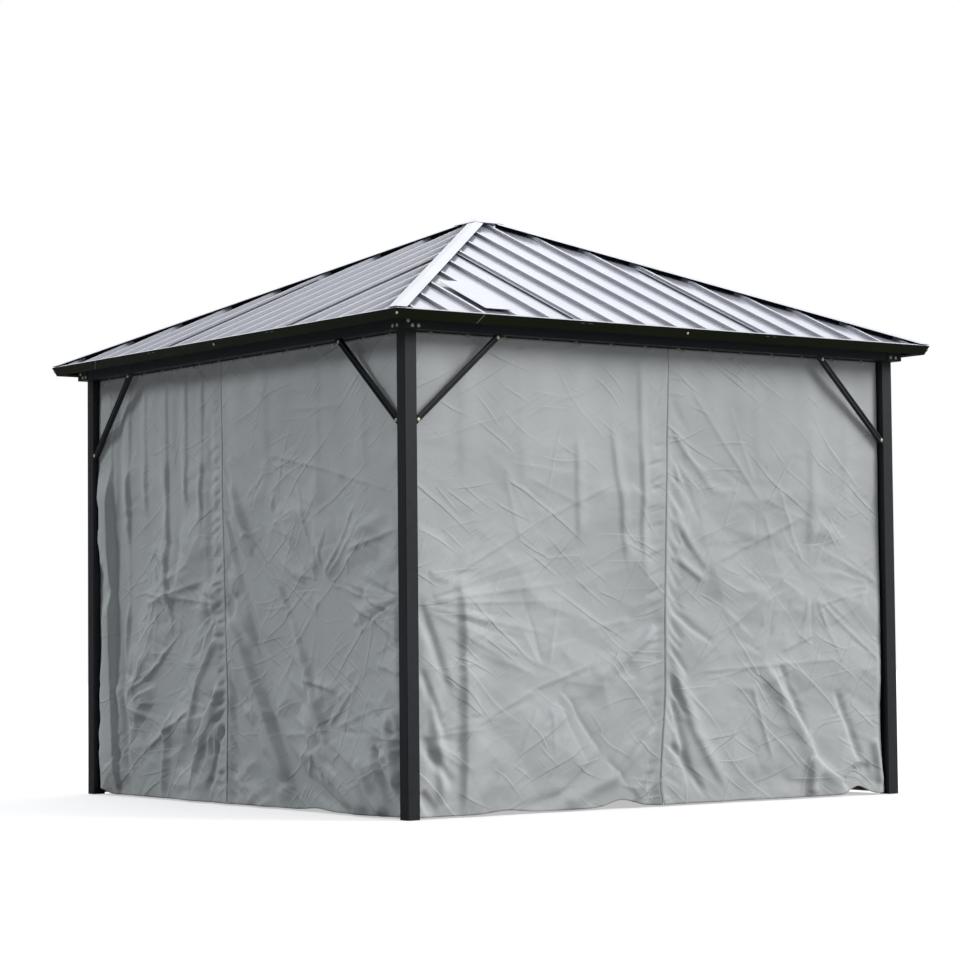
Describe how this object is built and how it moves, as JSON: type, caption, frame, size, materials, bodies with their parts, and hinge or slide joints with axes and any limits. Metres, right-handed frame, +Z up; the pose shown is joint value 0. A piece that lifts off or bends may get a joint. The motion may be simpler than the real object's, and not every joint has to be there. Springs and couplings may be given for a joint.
{
  "type": "square garden pavilion with a ribbed steel hip roof and hung curtains",
  "caption": "Square free-standing garden pavilion: slim posts and knee braces, a low ribbed steel hip roof with hip caps and fascia, and closed grey fabric curtains on every wall.",
  "frame": {"origin": "centre of the square plan, at the level that the posts stand on", "axes": "+Z up; -Y is the front wall, -X the left wall; the walls run along X and Y"},
  "size_m": [3, 3, 2.7374],
  "materials": {
    "frame_paint": "charcoal powder coat with a fine satin texture",
    "fascia_paint": "near-black powder coat, satin",
    "roof_frame": "charcoal powder coat, satin",
    "roof_sheet": "grey coil-coated sheet, smooth with a soft sheen",
    "curtain_fabric": "light grey polyester cloth, plain weave, creased",
    "hook_steel": "zinc-plated small hardware"
  },
  "bodies": {
    "root": {"back_beam": "frame_paint", "back_fascia": "fascia_paint", "back_left_brace": "frame_paint", "back_left_corner_bracket": "frame_paint", "back_left_curtain": "curtain_fabric", "back_left_hip_cap": "roof_sheet", "back_left_hip_rafter": "roof_frame", "back_left_post": "frame_paint", "back_right_brace": "frame_paint", "back_right_corner_bracket": "frame_paint", "back_right_curtain": "curtain_fabric", "back_right_hip_cap": "roof_sheet", "back_right_hip_rafter": "roof_frame", "back_right_post": "frame_paint", "back_roof_sheets": "roof_sheet", "curtain_hooks": "hook_steel", "front_beam": "frame_paint", "front_fascia": "fascia_paint", "front_left_brace": "frame_paint", "front_left_corner_bracket": "frame_paint", "front_left_curtain": "curtain_fabric", "front_left_hip_cap": "roof_sheet", "front_left_hip_rafter": "roof_frame", "front_left_post": "frame_paint", "front_right_brace": "frame_paint", "front_right_corner_bracket": "frame_paint", "front_right_curtain": "curtain_fabric", "front_right_hip_cap": "roof_sheet", "front_right_hip_rafter": "roof_frame", "front_right_post": "frame_paint", "front_roof_sheets": "roof_sheet", "left_beam": "frame_paint", "left_fascia": "fascia_paint", "left_left_brace": "frame_paint", "left_left_curtain": "curtain_fabric", "left_right_brace": "frame_paint", "left_right_curtain": "curtain_fabric", "left_roof_sheets": "roof_sheet", "middle_rafters": "roof_frame", "rafter_hub": "roof_frame", "right_beam": "frame_paint", "right_fascia": "fascia_paint", "right_left_brace": "frame_paint", "right_left_curtain": "curtain_fabric", "right_right_brace": "frame_paint", "right_right_curtain": "curtain_fabric", "right_roof_sheets": "roof_sheet", "roof_cover_strip": "roof_sheet", "top_cap": "roof_sheet"}
  },
  "joints": []
}
